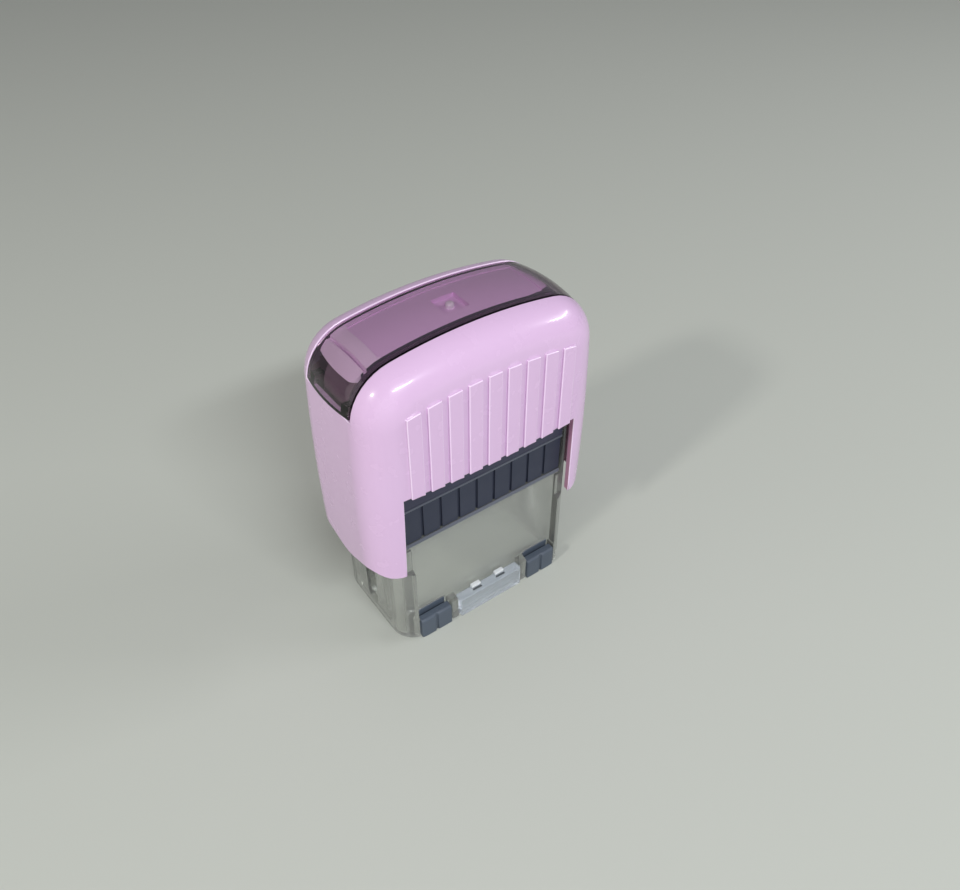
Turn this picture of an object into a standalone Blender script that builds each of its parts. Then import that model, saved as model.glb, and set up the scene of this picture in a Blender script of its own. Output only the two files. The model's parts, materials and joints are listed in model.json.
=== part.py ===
"""Self-inking office stamp, at rest: the spring holds the housing up and the text plate lies on the pad.

Metres, Z up. X runs along the stamp's width, -Y is the front, and the origin is the middle of the
footprint on the table. The housing, yoke, window and axle pins slide down over the frame, and the
platen turns half a turn about its axle on the way, led by its lugs in the frame's curved tracks.
"""
import math

import bmesh
import bpy

MM = 0.001

# Clearances
GAP = 0.3 * MM
RUN = 0.4 * MM
OVERRUN = 1.0 * MM
PIN_PLAY = 0.25 * MM

# Text plate, foam and platen
TEXT_LENGTH = 27.0 * MM
TEXT_DEPTH = 10.0 * MM
TEXT_BASE = 0.9 * MM
TEXT_RELIEF = 0.4 * MM
TEXT_BAR = 1.3 * MM
TEXT_BAR_SHARES = (0.92, 0.92, 0.6)
FOAM_THICKNESS = 0.6 * MM
LAYER_GAP = 0.2 * MM
CARRIER_THICKNESS = 1.6 * MM
CARRIER_DEPTH = 10.2 * MM
CARRIER_RIB = 0.9 * MM
CARRIER_RIB_DROP = 1.2 * MM
PLATE_REACH = 3.45 * MM
CHEEK = 1.1 * MM
CHEEK_RADIUS = 2.0 * MM
AXLE_RADIUS = 1.2 * MM
LUG_RADIUS = 0.8 * MM
LUG_ARM = 3.0 * MM
LUG_CHEEK_RADIUS = 1.2 * MM
FOLLOWER_GAP = 0.3 * MM

# Ink pad and cassette
PAD_FACE_Z = 24.0 * MM
PAD_GAP = 0.3 * MM
PAD_DEPTH = 11.6 * MM
PAD_THICKNESS = 4.6 * MM
PAD_CORNER = 1.0 * MM
PAD_PROUD = 0.3 * MM
GRIP_DROP = 1.4 * MM
GRIP_THICKNESS = 1.0 * MM
CASSETTE_HEIGHT = 7.2 * MM
CASSETTE_RAIL = 0.6 * MM
CASSETTE_END_WALL = 1.0 * MM
GRIP_GROOVES = 8
GRIP_PITCH = 3.44 * MM
GRIP_GROOVE = 0.5 * MM
GRIP_GROOVE_DEPTH = 0.35 * MM
GRIP_BEVEL = 0.4 * MM

# Base frame
FRAME_WALL = 1.2 * MM
FRAME_CORNER = 4.2 * MM
TRACK_PLATE = 1.0 * MM
TRACK_MARGIN = 0.8 * MM
PANEL_THICKNESS = 1.1 * MM
PANEL_RECESS = 1.6 * MM
FRAME_INNER_DEPTH = 15.6 * MM
FRAME_INNER_CORNER = 1.5 * MM
PANEL_END_ROOM = 3.0 * MM
PANEL_HEAD = 0.9 * MM
PASSAGE_WALL = 1.8 * MM
DECK_THICKNESS = 1.2 * MM
FLANGE_RISE = 3.4 * MM
FRAME_TOP_CORNER = 4.0 * MM
SPIGOT_RADIUS = 3.2 * MM
SPIGOT_HEIGHT = 1.6 * MM
LEDGE_FRONT_Z = 4.9 * MM
LEDGE_BACK_Z = 5.1 * MM
SHOULDER_DROP = 0.5 * MM
SHOULDER_SLOPE = 1.2 * MM

# Feet and sills
FOOT_END_ROOM = 3.3 * MM
FOOT_WIDTH = 6.0 * MM
FOOT_HEIGHT = 4.4 * MM
FOOT_PROUD = 0.25 * MM
FOOT_BEVEL = 0.3 * MM
FOOT_GROOVE = 0.5 * MM
FOOT_GROOVE_DEPTH = 0.3 * MM
FOOT_POCKET_TOP_Z = 5.5 * MM
FOOT_POCKET_CORNER = 1.1 * MM
FOOT_POCKET_RECESS = 0.5 * MM
SILL_HALF_WIDTH = 6.45 * MM
SILL_PROUD = 0.5 * MM
SILL_TOP_Z = 4.6 * MM
TAB_X = 2.5 * MM
TAB_HALF_WIDTH = 1.0 * MM
TAB_THICKNESS = 0.7 * MM
TAB_RISE = 0.5 * MM

# Yoke
LEG_THICKNESS = 1.5 * MM
LEG_HALF_DEPTH = 3.4 * MM
LEG_ROOM = 0.8 * MM
LEG_LOW_MARGIN = 1.0 * MM
BEAM_CLEARANCE = 0.7 * MM
BEAM_THICKNESS = 2.6 * MM
CUP_RADIUS = 4.9 * MM
CUP_WALL = 0.9 * MM
CUP_ROOF = 0.8 * MM
YOKE_SHOULDER_INSET = 1.6 * MM

# Return spring
SPRING_RADIUS = 4.2 * MM
WIRE_RADIUS = 0.28 * MM
SPRING_TURNS = 7
POINTS_PER_TURN = 10

# Housing
HOUSING_WALL = 1.1 * MM
HOUSING_PROUD = 0.6 * MM
EDGE_RADIUS = 5.6 * MM
SHOULDER_RADIUS = 8.2 * MM
ARCH_RADIUS = 82.0 * MM
SIDE_BULGE = 0.45 * MM
BARREL_RISE = 17.5 * MM
FRONT_TAPER_SHARE = 0.023
LIFT_CLEARANCE = 0.6 * MM
SIDE_EDGE_RISE = 1.7 * MM
SIDE_EDGE_PEAK_Y = 7.2 * MM
LIP_EDGE_RISE = 0.4 * MM
LIP_EDGE_RUN = 3.6 * MM
CUTOUT_HEIGHT = 16.45 * MM
CUTOUT_TOP_HALF_WIDTH = 16.1 * MM
CUTOUT_LOW_HALF_WIDTH = 16.45 * MM
CUTOUT_CROWN = 0.65 * MM
CUTOUT_NOTCH = 0.25 * MM
NOTCH_SHARES = ((0.5, 0), (0.3, 0.8), (0, 1), (-0.3, 0.8), (-0.5, 0))
RIBS = 9
RIB_PITCH = 3.44 * MM
RIB_WIDTH = 2.35 * MM
RIB_RAISE = 0.35 * MM
RIB_TOP_BELOW_CROWN = 6.3 * MM
RIB_TOP_ARC = 1.1 * MM

# Window and index seat
WINDOW_OPENING = 12.5 * MM
WINDOW_END_BELOW_TOP = 8.6 * MM
WINDOW_THICKNESS = 0.8 * MM
WINDOW_FLUSH = 0.05 * MM
WINDOW_CROWN = 0.55 * MM
CLIP_THICKNESS = 0.8 * MM
CLIP_WIDTH = 1.4 * MM
CLIP_REACH = 3.4 * MM
CLIP_ROOT = 1.3 * MM
SEAT_THICKNESS = 0.75 * MM
SEAT_DROP = 4.6 * MM
SEAT_FRONT_ROOM = 2.1 * MM
SEAT_BACK_ROOM = 0.35 * MM
SEAT_CORNER = 1.8 * MM
SEAT_POCKET = 4.1 * MM
SEAT_FLOOR = 0.4 * MM
NUB_RADIUS = 0.7 * MM
NUB_BELOW_WINDOW = 0.4 * MM
FIELD_END_ROOM = 7.1 * MM
FIELD_FRONT_BORDER = 0.4 * MM
FIELD_BACK_BORDER = 1.1 * MM
FIELD_DEPTH = 0.15 * MM
SEAT_GROOVE = 0.5 * MM
SEAT_GROOVE_DEPTH = 0.2 * MM
SEAT_GROOVE_END_ROOM = 4.9 * MM

# Levels that follow from the sizes above
STROKE = PAD_FACE_Z - PAD_GAP - 2 * PLATE_REACH
SEAT_DEPTH = WINDOW_FLUSH + WINDOW_THICKNESS + GAP
AXLE_Z = PAD_FACE_Z - PAD_GAP - PLATE_REACH
CASSETTE_LOW_Z = PAD_FACE_Z - GRIP_DROP
CASSETTE_TOP_Z = CASSETTE_LOW_Z + CASSETTE_HEIGHT
RAIL_TOP_Z = CASSETTE_LOW_Z - GAP
PANEL_TOP_Z = RAIL_TOP_Z - PANEL_HEAD
DECK_Z = CASSETTE_TOP_Z + GAP
DECK_TOP_Z = DECK_Z + DECK_THICKNESS
FRAME_TOP_Z = DECK_TOP_Z + FLANGE_RISE
HOUSING_LOW_Z = STROKE + LIFT_CLEARANCE
BEAM_Z = FRAME_TOP_Z + STROKE + BEAM_CLEARANCE
BEAM_TOP_Z = BEAM_Z + BEAM_THICKNESS
TOP_Z = BEAM_TOP_Z + GAP + SEAT_THICKNESS + SEAT_DEPTH
CUTOUT_TOP_Z = HOUSING_LOW_Z + CUTOUT_HEIGHT
CUP_ROOF_Z = BEAM_TOP_Z - CUP_ROOF
WINDOW_LOW_Z = TOP_Z - WINDOW_END_BELOW_TOP
SEAT_LOW_Z = TOP_Z - SEAT_DROP

# Widths, from the platen outwards
CARRIER_HALF = TEXT_LENGTH / 2 + RUN
CHEEK_OUT = CARRIER_HALF + CHEEK
TRACK_X = CHEEK_OUT + RUN
FRAME_INNER_X = TRACK_X + TRACK_PLATE
FRAME_HALF_WIDTH = FRAME_INNER_X + FRAME_WALL
LEG_X = FRAME_HALF_WIDTH + RUN
LEG_OUT_X = LEG_X + LEG_THICKNESS
HOUSING_HALF_WIDTH = LEG_OUT_X + LEG_ROOM + HOUSING_WALL
PASSAGE_HALF_WIDTH = FRAME_HALF_WIDTH - PASSAGE_WALL
PANEL_HALF_WIDTH = FRAME_HALF_WIDTH - PANEL_END_ROOM
FOOT_OUTER_X = FRAME_HALF_WIDTH - FOOT_END_ROOM
FOOT_INNER_X = FOOT_OUTER_X - FOOT_WIDTH
CASSETTE_HALF_WIDTH = PASSAGE_HALF_WIDTH - GAP
PAD_HALF_LENGTH = CASSETTE_HALF_WIDTH - CASSETTE_END_WALL - GAP
FIELD_HALF_LENGTH = HOUSING_HALF_WIDTH - FIELD_END_ROOM
SEAT_GROOVE_X = HOUSING_HALF_WIDTH - SEAT_GROOVE_END_ROOM

# Depths, from the middle to the front
FRAME_INNER_Y = FRAME_INNER_DEPTH / 2
PANEL_Y = FRAME_INNER_Y + PANEL_THICKNESS
FRAME_HALF_DEPTH = PANEL_Y + PANEL_RECESS
HOUSING_HALF_DEPTH = FRAME_HALF_DEPTH + HOUSING_PROUD
SKIRT_INNER_Y = HOUSING_HALF_DEPTH * (1 - FRONT_TAPER_SHARE) - HOUSING_WALL
FRAME_UPPER_Y = SKIRT_INNER_Y - RUN
WINDOW_HALF_DEPTH = WINDOW_OPENING / 2 - GAP
SEAT_FRONT_Y = -WINDOW_OPENING / 2 + SEAT_FRONT_ROOM
SEAT_BACK_Y = WINDOW_OPENING / 2 - SEAT_BACK_ROOM


def new_material(name, colour, roughness, alpha=1.0, metallic=0.0):
    """A plain Principled finish."""
    material = bpy.data.materials.new(name)
    material.use_nodes = True
    shader = material.node_tree.nodes["Principled BSDF"]
    shader.inputs["Base Color"].default_value = (*colour, 1.0)
    shader.inputs["Roughness"].default_value = roughness
    shader.inputs["Metallic"].default_value = metallic
    shader.inputs["Alpha"].default_value = alpha
    return material


def to_object(name, mesh_maker, material=None):
    """Turn a bmesh into an object with outward faces."""
    bmesh.ops.recalc_face_normals(mesh_maker, faces=mesh_maker.faces)
    mesh = bpy.data.meshes.new(name)
    mesh_maker.to_mesh(mesh)
    mesh_maker.free()
    piece = bpy.data.objects.new(name, mesh)
    bpy.context.collection.objects.link(piece)
    if material:
        piece.data.materials.append(material)
    return piece


def place(axis, u, v, w):
    """A drawing point (u, v) at the station w along an axis."""
    if axis == "X":
        return (w, u, v)
    if axis == "Y":
        return (u, w, v)
    return (u, v, w)


def prism(name, outline, axis, start, end, material=None):
    """A closed outline, drawn square to an axis, carried from start to end along it."""
    shape = bmesh.new()
    floor = shape.faces.new([shape.verts.new(place(axis, u, v, start)) for u, v in outline])
    lifted = bmesh.ops.extrude_face_region(shape, geom=[floor])
    moved = [item for item in lifted["geom"] if isinstance(item, bmesh.types.BMVert)]
    bmesh.ops.translate(shape, verts=moved, vec=place(axis, 0, 0, end - start))
    return to_object(name, shape, material)


def loft(name, rings, material=None):
    """A closed form through matching rings, with its two ends filled."""
    shape = bmesh.new()
    loops = [[shape.verts.new(point) for point in ring] for ring in rings]
    count = len(loops[0])
    for near, far in zip(loops[:-1], loops[1:]):
        for index in range(count):
            after = (index + 1) % count
            shape.faces.new((near[index], near[after], far[after], far[index]))
    shape.faces.new(loops[0])
    shape.faces.new(loops[-1])
    return to_object(name, shape, material)


def block(name, x_range, y_range, z_range, material=None):
    """A box between pairs of limits."""
    left, right = x_range
    front, back = y_range
    outline = [(left, front), (right, front), (right, back), (left, back)]
    return prism(name, outline, "Z", z_range[0], z_range[1], material)


def arc(centre, radius, start, end, steps):
    """Points along an arc, angles in degrees."""
    points = []
    for step in range(steps + 1):
        angle = math.radians(start + (end - start) * step / steps)
        points.append((centre[0] + radius * math.cos(angle), centre[1] + radius * math.sin(angle)))
    return points


def stations(start, end, steps):
    """Even places from start to end."""
    return [start + (end - start) * step / steps for step in range(steps + 1)]


def round_rectangle(half_width, half_depth, corner, steps=5):
    """The outline of a rectangle with round corners."""
    centre_x = half_width - corner
    centre_y = half_depth - corner
    points = []
    for quarter, (side_x, side_y) in enumerate(((1, 1), (-1, 1), (-1, -1), (1, -1))):
        centre = (side_x * centre_x, side_y * centre_y)
        points += arc(centre, corner, 90 * quarter, 90 * quarter + 90, steps)
    return points


def mirrored(points, side):
    """The outline as drawn for the right side, or turned over for the left."""
    return [(side * u, v) for u, v in points]


def combine(piece, tool, operation):
    """Add a Boolean with a hidden tool."""
    tool.hide_render = True
    tool.display_type = "WIRE"
    modifier = piece.modifiers.new(tool.name, "BOOLEAN")
    modifier.operation = operation
    modifier.solver = "EXACT"
    modifier.object = tool


def cut(piece, tool):
    combine(piece, tool, "DIFFERENCE")


def add(piece, tool):
    combine(piece, tool, "UNION")


def move_to(piece, spot):
    """Move a piece together with its hidden tools."""
    piece.location = spot
    for modifier in piece.modifiers:
        modifier.object.location = spot


def smooth(piece, angle=30):
    """Round faces shaded smooth, edges kept sharp."""
    piece.data.shade_smooth()
    piece.data.set_sharp_from_angle(angle=math.radians(angle))


# Outline of the housing, seen from the front

def side_half_width(height, inset):
    """Half width of the housing's barrel side at a height, an inset inside the skin."""
    shoulder_z = shoulder_level()
    widest_z = shoulder_z - BARREL_RISE
    share = (height - widest_z) / BARREL_RISE
    return HOUSING_HALF_WIDTH - SIDE_BULGE * share * share - inset


def shoulder_level():
    """Height of the shoulder arc's centre, where the arc meets the barrel side and the arch."""
    run = HOUSING_HALF_WIDTH - SIDE_BULGE - SHOULDER_RADIUS
    reach = ARCH_RADIUS - SHOULDER_RADIUS
    return TOP_Z - ARCH_RADIUS + math.sqrt(reach * reach - run * run)


def shoulder_outline(inset, steps=9):
    """Shoulder and arch of the right half, from the shoulder's foot to the crown."""
    shoulder_z = shoulder_level()
    centre_x = HOUSING_HALF_WIDTH - SIDE_BULGE - SHOULDER_RADIUS
    arch_z = TOP_Z - ARCH_RADIUS
    meet = math.degrees(math.atan2(shoulder_z - arch_z, centre_x))
    points = arc((centre_x, shoulder_z), SHOULDER_RADIUS - inset, 0, meet, steps)
    points += arc((0, arch_z), ARCH_RADIUS - inset, meet, 90, steps)[1:]
    return points


def half_outline(inset, low_z, steps=9):
    """Right half of the housing's outline, from its lower edge to the crown."""
    shoulder_z = shoulder_level()
    points = []
    for step in range(steps):
        height = low_z + (shoulder_z - low_z) * step / steps
        points.append((side_half_width(height, inset), height))
    return points + shoulder_outline(inset, steps)


def crown_z(x, inset):
    """Height of the arch or shoulder over a place x, an inset inside the skin."""
    centre_x = HOUSING_HALF_WIDTH - SIDE_BULGE - SHOULDER_RADIUS
    shoulder_z = shoulder_level()
    arch_z = TOP_Z - ARCH_RADIUS
    reach = ARCH_RADIUS - inset
    meet_x = centre_x * reach / (ARCH_RADIUS - SHOULDER_RADIUS)
    if abs(x) <= meet_x:
        return arch_z + math.sqrt(reach * reach - x * x)
    radius = SHOULDER_RADIUS - inset
    run = abs(x) - centre_x
    return shoulder_z + math.sqrt(max(radius * radius - run * run, 0))


def front_share(height):
    """Depth of the front at a height, as a share of its depth at the shoulder."""
    shoulder_z = shoulder_level()
    share = max(shoulder_z - height, 0) / (shoulder_z - HOUSING_LOW_Z)
    return 1 - FRONT_TAPER_SHARE * share * share


def pillow(name, wall, low_z, material=None, steps=10):
    """The housing's solid form with round front and back edges, a wall thickness inside the skin."""
    radius = EDGE_RADIUS - wall
    flat = HOUSING_HALF_DEPTH - EDGE_RADIUS
    shape = bmesh.new()
    rings = []
    for side in (-1, 1):
        angles = [90 * step / steps for step in range(steps + 1)]
        if side < 0:
            angles.reverse()
        for angle in angles:
            turn = math.radians(angle)
            station = side * (flat + radius * math.sin(turn))
            right = half_outline(EDGE_RADIUS - radius * math.cos(turn), low_z)
            left = [(-x, z) for x, z in reversed(right[:-1])]
            ring = [shape.verts.new((x, station * front_share(z), z)) for x, z in right + left]
            rings.append(ring)
    count = len(rings[0])
    for near, far in zip(rings[:-1], rings[1:]):
        for index in range(count):
            after = (index + 1) % count
            shape.faces.new((near[index], near[after], far[after], far[index]))
    for ring in (rings[0], rings[-1]):
        for index in range(count // 2 - 1):
            mirror = count - 1 - index
            shape.faces.new((ring[index], ring[index + 1], ring[mirror - 1], ring[mirror]))
        middle = count // 2
        shape.faces.new((ring[middle - 1], ring[middle], ring[middle + 1]))
    return to_object(name, shape, material)


def lower_edge_z(y):
    """Height of the housing's lower edge: lowest at mid side, up to the corner, down to the lips."""
    distance = abs(y)
    if distance <= SIDE_EDGE_PEAK_Y:
        wave = (1 - math.cos(math.pi * distance / SIDE_EDGE_PEAK_Y)) / 2
        return HOUSING_LOW_Z + SIDE_EDGE_RISE * wave
    share = min((distance - SIDE_EDGE_PEAK_Y) / LIP_EDGE_RUN, 1)
    wave = (1 + math.cos(math.pi * share)) / 2
    return HOUSING_LOW_Z + LIP_EDGE_RISE + (SIDE_EDGE_RISE - LIP_EDGE_RISE) * wave


def skirt_edge_z(x):
    """Height of the skirt's edge over the cut-out, lowest in the middle."""
    share = x / CUTOUT_TOP_HALF_WIDTH
    return CUTOUT_TOP_Z + CUTOUT_CROWN * share * share


def make_housing(material):
    """The pink housing: barrel sides, round edges, ribbed front and back, cut-outs and open top."""
    housing = pillow("housing_shell", 0, HOUSING_LOW_Z - OVERRUN, material)
    front_y = HOUSING_HALF_DEPTH + RIB_RAISE
    root_y = HOUSING_HALF_DEPTH - HOUSING_WALL / 2
    rib_top = TOP_Z - RIB_TOP_BELOW_CROWN
    rib_low = CUTOUT_TOP_Z - CUTOUT_CROWN
    half_count = (RIBS - 1) / 2
    for side, place_name in ((-1, "front"), (1, "back")):
        for index in range(RIBS):
            middle = (index - half_count) * RIB_PITCH
            edges = (middle - RIB_WIDTH / 2, middle + RIB_WIDTH / 2)
            tops = [rib_top - RIB_TOP_ARC * (x / (half_count * RIB_PITCH)) ** 2 for x in edges]
            outline = [(edges[0], rib_low), (edges[1], rib_low), (edges[1], tops[1]), (edges[0], tops[0])]
            rib = prism("rib_tool_%s_%d" % (place_name, index), outline, "Y", side * root_y, side * front_y)
            add(housing, rib)
    cut(housing, pillow("cavity_tool", HOUSING_WALL, HOUSING_LOW_Z - 2 * OVERRUN))

    low = HOUSING_LOW_Z - 2 * OVERRUN
    crown = [(CUTOUT_LOW_HALF_WIDTH, low), (CUTOUT_TOP_HALF_WIDTH, skirt_edge_z(CUTOUT_TOP_HALF_WIDTH))]
    groove = RIB_PITCH - RIB_WIDTH
    for index in range(RIBS - 1, 0, -1):
        middle = (index - RIBS / 2) * RIB_PITCH
        if abs(middle) + groove < CUTOUT_TOP_HALF_WIDTH:
            for offset_share, rise_share in NOTCH_SHARES:
                x = middle + offset_share * groove
                crown.append((x, skirt_edge_z(x) + rise_share * CUTOUT_NOTCH))
    crown += [(-CUTOUT_TOP_HALF_WIDTH, skirt_edge_z(CUTOUT_TOP_HALF_WIDTH)), (-CUTOUT_LOW_HALF_WIDTH, low)]
    reach = front_y + OVERRUN
    cut(housing, prism("cutout_tool", crown, "Y", -reach, reach))

    edge = []
    steps = 28
    for step in range(steps + 1):
        y = -reach + 2 * reach * step / steps
        edge.append((y, lower_edge_z(y)))
    edge += [(reach, low - OVERRUN), (-reach, low - OVERRUN)]
    wide = HOUSING_HALF_WIDTH + OVERRUN
    cut(housing, prism("lower_edge_tool", edge, "X", -wide, wide))

    half_opening = WINDOW_OPENING / 2
    cut(housing, block("window_opening_tool", (-wide, wide), (-half_opening, half_opening),
                       (WINDOW_LOW_Z, TOP_Z + OVERRUN)))
    smooth(housing)
    return housing


def arch_strip(inset_out, inset_in, low_z):
    """A strip that follows the shoulders and the arch between two insets, down to a level."""
    def half(inset):
        kept = [(x, z) for x, z in half_outline(inset, WINDOW_LOW_Z - BARREL_RISE) if z > low_z]
        return [(side_or_shoulder_x(low_z, inset), low_z)] + kept
    outer = half(inset_out)
    inner = half(inset_in)
    outer += mirrored(reversed(outer[:-1]), -1)
    inner += mirrored(reversed(inner[:-1]), -1)
    return outer + list(reversed(inner))


def side_or_shoulder_x(height, inset):
    """Half width of the outline at a height, on the barrel side or on the shoulder arc."""
    shoulder_z = shoulder_level()
    if height <= shoulder_z:
        return side_half_width(height, inset)
    radius = SHOULDER_RADIUS - inset
    centre_x = HOUSING_HALF_WIDTH - SIDE_BULGE - SHOULDER_RADIUS
    rise = height - shoulder_z
    return centre_x + math.sqrt(radius * radius - rise * rise)


def window_crown(y):
    """Rise of the window's crown over its edges at a depth y."""
    share = y / WINDOW_HALF_DEPTH
    return WINDOW_CROWN * (1 - share * share)


def make_window(material):
    """The clear window: an arched cap with a clip at each corner that goes down inside the shell."""
    low_z = WINDOW_LOW_Z + GAP
    thick = WINDOW_FLUSH + WINDOW_THICKNESS
    rings = []
    for y in stations(-WINDOW_HALF_DEPTH, WINDOW_HALF_DEPTH, 8):
        crown = window_crown(y)
        strip = arch_strip(WINDOW_FLUSH - crown, thick - crown, low_z)
        rings.append([(x, y, z) for x, z in strip])
    window = loft("top_window", rings, material)
    root_z = low_z + CLIP_ROOT
    bite = WINDOW_THICKNESS / 2
    outer_x = side_or_shoulder_x(low_z, HOUSING_WALL + GAP)
    for side in (-1, 1):
        outline = [
            (side_or_shoulder_x(low_z, thick - bite), low_z),
            (side_or_shoulder_x(root_z, thick - bite), root_z),
            (outer_x - CLIP_THICKNESS, root_z),
            (outer_x - CLIP_THICKNESS, low_z - CLIP_REACH),
            (outer_x, low_z - CLIP_REACH),
            (outer_x, low_z),
        ]
        for end in (-1, 1):
            start = end * (LEG_HALF_DEPTH + GAP)
            stop = end * (LEG_HALF_DEPTH + GAP + CLIP_WIDTH)
            clip = prism("clip_tool_%d_%d" % (side, end), mirrored(outline, side), "Y", start, stop)
            add(window, clip)
    smooth(window)
    return window


def make_seat(material):
    """The index seat: a plate that follows the window, with a sunk field, cross grooves and a nub."""
    rings = []
    for y in stations(SEAT_FRONT_Y, SEAT_BACK_Y, 6):
        strip = arch_strip(SEAT_DEPTH - window_crown(y), SEAT_DEPTH + SEAT_THICKNESS, SEAT_LOW_Z)
        rings.append([(x, y, z) for x, z in strip])
    seat = loft("index_seat", rings, material)

    half_length = side_or_shoulder_x(SEAT_LOW_Z, SEAT_DEPTH - WINDOW_CROWN)
    half_depth = (SEAT_BACK_Y - SEAT_FRONT_Y) / 2
    plan = round_rectangle(half_length, half_depth, SEAT_CORNER, 4)
    plan = [(x, y + SEAT_FRONT_Y + half_depth) for x, y in plan]
    bounds = prism("seat_plan_tool", plan, "Z", SEAT_LOW_Z - OVERRUN, TOP_Z + OVERRUN)
    combine(seat, bounds, "INTERSECT")

    rings = []
    for y in stations(SEAT_FRONT_Y + FIELD_FRONT_BORDER, SEAT_BACK_Y - FIELD_BACK_BORDER, 6):
        floor = SEAT_DEPTH - window_crown(y) + FIELD_DEPTH
        xs = stations(-FIELD_HALF_LENGTH, FIELD_HALF_LENGTH, 16)
        ring = [(x, y, crown_z(x, floor)) for x in xs]
        ring += [(x, y, crown_z(x, floor - OVERRUN)) for x in reversed(xs)]
        rings.append(ring)
    cut(seat, loft("seat_field_tool", rings))

    floor_z = TOP_Z - SEAT_DEPTH - SEAT_THICKNESS + SEAT_FLOOR
    half = SEAT_POCKET / 2
    cut(seat, block("seat_pocket_tool", (-half, half), (-half, half), (floor_z, TOP_Z)))
    nub_z = TOP_Z + WINDOW_CROWN - WINDOW_FLUSH - WINDOW_THICKNESS - NUB_BELOW_WINDOW
    add(seat, prism("nub_tool", arc((0, 0), NUB_RADIUS, 0, 330, 11), "Z", floor_z - SEAT_FLOOR / 2, nub_z))
    for side in (-1, 1):
        middle = side * SEAT_GROOVE_X
        deep_z = crown_z(middle, SEAT_DEPTH + SEAT_GROOVE_DEPTH)
        cut(seat, block("seat_groove_tool_%d" % side, (middle - SEAT_GROOVE / 2, middle + SEAT_GROOVE / 2),
                        (SEAT_FRONT_Y - OVERRUN, SEAT_BACK_Y + OVERRUN), (deep_z, TOP_Z)))
    smooth(seat)
    return seat


def make_yoke(material):
    """The bridge under the seat, with a leg down each side of the frame that carries an axle pin."""
    leg_low_z = AXLE_Z - AXLE_RADIUS - LEG_LOW_MARGIN
    under_seat = SEAT_DEPTH + SEAT_THICKNESS + GAP
    step_z = SEAT_LOW_Z - GAP
    outer = [(LEG_X, leg_low_z), (LEG_OUT_X, leg_low_z)]
    outer += [(min(x, LEG_OUT_X), z) for x, z in shoulder_outline(YOKE_SHOULDER_INSET) if z < step_z]
    outer.append((side_or_shoulder_x(step_z, YOKE_SHOULDER_INSET), step_z))
    outer.append((side_or_shoulder_x(step_z, under_seat), step_z))
    outer += [(x, z) for x, z in shoulder_outline(under_seat) if z > step_z]
    outer += mirrored(reversed(outer[:-1]), -1)
    inner = arc((-LEG_X + FRAME_TOP_CORNER, BEAM_Z - FRAME_TOP_CORNER), FRAME_TOP_CORNER, 180, 90, 6)
    inner += mirrored(reversed(inner), -1)
    yoke = prism("yoke", outer + inner, "Y", -LEG_HALF_DEPTH, LEG_HALF_DEPTH, material)

    collar = arc((0, 0), CUP_RADIUS + CUP_WALL, 0, 350, 35)
    add(yoke, prism("cup_wall_tool", collar, "Z", BEAM_Z, CUP_ROOF_Z + CUP_ROOF / 2))
    cup = prism("cup_tool", arc((0, 0), CUP_RADIUS, 0, 350, 35), "Z", BEAM_Z - OVERRUN, CUP_ROOF_Z)
    cut(yoke, cup)
    bore = prism("yoke_bore_tool", arc((0, AXLE_Z), AXLE_RADIUS + PIN_PLAY, 0, 345, 23), "X",
                 -LEG_OUT_X - OVERRUN, LEG_OUT_X + OVERRUN)
    cut(yoke, bore)
    smooth(yoke)
    return yoke


def make_axle_pins(material):
    """Two pins on the platen's axis, from the yoke's legs through the slots into the cheeks."""
    pins = []
    for side, name in ((-1, "axle_pin_left"), (1, "axle_pin_right")):
        pin = prism(name, arc((0, 0), AXLE_RADIUS, 0, 345, 23), "X",
                    side * CARRIER_HALF, side * (LEG_OUT_X - GAP), material)
        move_to(pin, (0, 0, AXLE_Z))
        smooth(pin)
        pins.append(pin)
    return pins


def make_platen(material):
    """The carrier plate with its ribs and end cheeks, each with a bore and a turning lug."""
    stack = TEXT_BASE + TEXT_RELIEF + FOAM_THICKNESS + 2 * LAYER_GAP
    top = PLATE_REACH - stack
    half_depth = CARRIER_DEPTH / 2
    under = top - CARRIER_THICKNESS
    profile = [
        (-half_depth, under - CARRIER_RIB_DROP), (-half_depth + CARRIER_RIB, under - CARRIER_RIB_DROP),
        (-half_depth + CARRIER_RIB, under), (half_depth - CARRIER_RIB, under),
        (half_depth - CARRIER_RIB, under - CARRIER_RIB_DROP), (half_depth, under - CARRIER_RIB_DROP),
        (half_depth, top), (-half_depth, top),
    ]
    carrier = prism("platen_carrier", profile, "X", -CARRIER_HALF, CARRIER_HALF, material)
    bite = RUN / 4
    for side, name in ((-1, "left"), (1, "right")):
        reach = math.degrees(math.acos((CHEEK_RADIUS - LUG_CHEEK_RADIUS) / LUG_ARM))
        cheek = arc((0, 0), CHEEK_RADIUS, reach, 360 - reach, 16)
        cheek += arc((LUG_ARM, 0), LUG_CHEEK_RADIUS, -reach, reach, 8)
        add(carrier, prism("cheek_tool_" + name, cheek, "X", side * (CARRIER_HALF - bite), side * CHEEK_OUT))
        lug_end = FRAME_INNER_X - FOLLOWER_GAP
        add(carrier, prism("lug_tool_" + name, arc((LUG_ARM, 0), LUG_RADIUS, 0, 330, 11), "X",
                           side * (CHEEK_OUT - bite), side * lug_end))
    bore_start = CARRIER_HALF - GAP
    for side, name in ((-1, "left"), (1, "right")):
        cut(carrier, prism("carrier_bore_tool_" + name, arc((0, 0), AXLE_RADIUS + PIN_PLAY, 0, 345, 23), "X",
                           side * bore_start, side * (CHEEK_OUT + OVERRUN)))
    move_to(carrier, (0, 0, AXLE_Z))
    smooth(carrier)
    return carrier


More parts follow.
